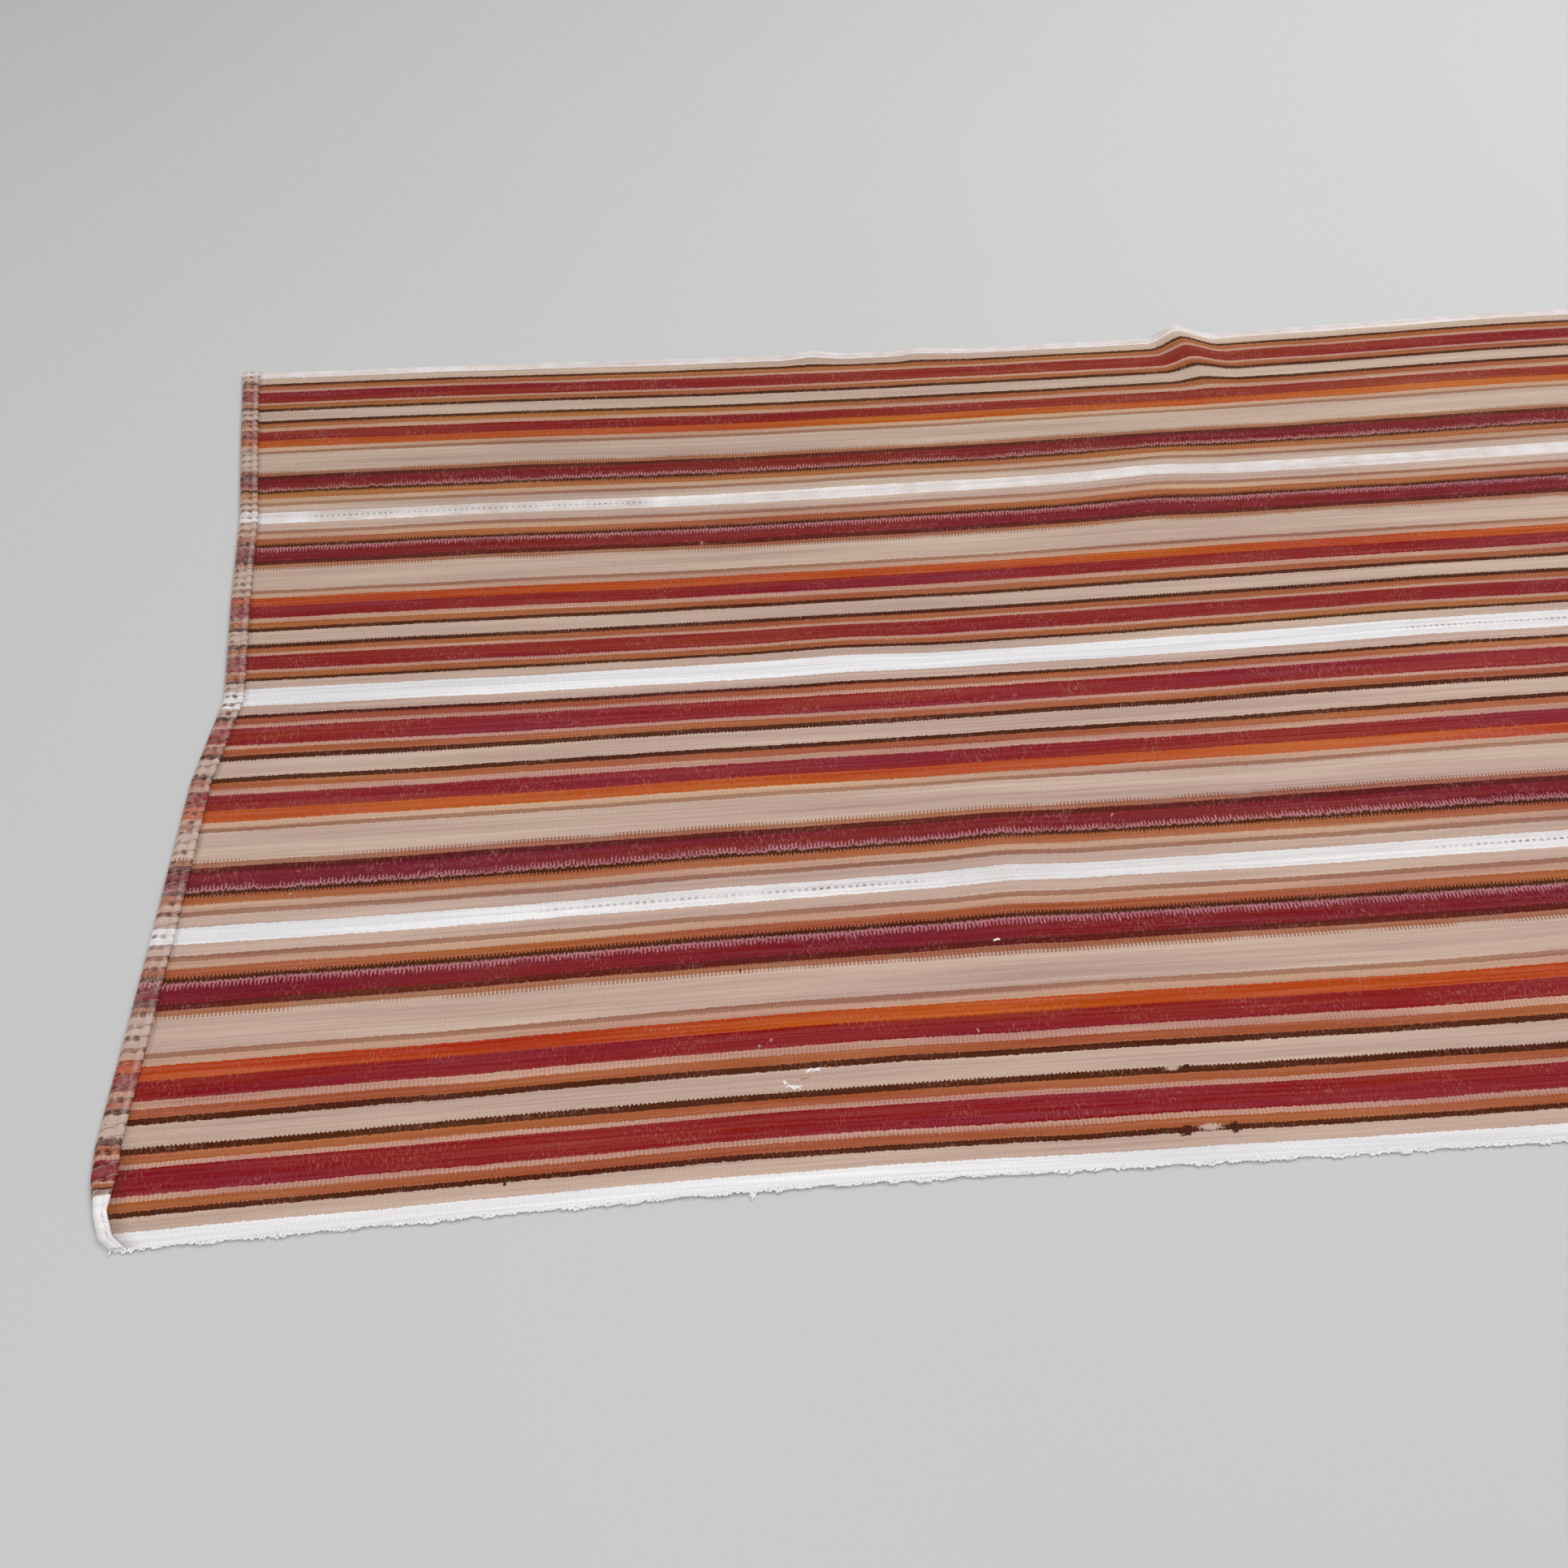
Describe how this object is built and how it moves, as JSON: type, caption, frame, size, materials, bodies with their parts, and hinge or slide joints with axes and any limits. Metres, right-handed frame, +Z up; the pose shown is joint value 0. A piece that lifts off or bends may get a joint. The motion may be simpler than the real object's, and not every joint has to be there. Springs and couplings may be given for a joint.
{
  "type": "kilim",
  "caption": "Flat-woven striped wool rug of long strips sewn edge to edge, hemmed at both ends, lying flat with a small pucker at one long edge.",
  "frame": {"origin": "centre of the rug's bounding box, on the floor it lies on", "axes": "+X along the stripes to the plain end, +Y across the stripes to the long edge with the pucker, +Z up"},
  "size_m": [2.622, 1.6292, 0.0249],
  "materials": {
    "wool_panel_near": "matt warp-faced wool, striped red, orange, rust, brown, beige and white",
    "wool_panel_mid_near": "matt warp-faced wool, striped red, orange, rust, brown, beige and white",
    "wool_panel_mid_far": "matt warp-faced wool, striped red, orange, rust, brown, beige and white",
    "wool_panel_far": "matt warp-faced wool, striped red, orange, rust, brown, beige and white"
  },
  "bodies": {
    "root": {"panel_near": "wool_panel_near", "panel_mid_near": "wool_panel_mid_near", "panel_mid_far": "wool_panel_mid_far", "panel_far": "wool_panel_far"}
  },
  "joints": []
}
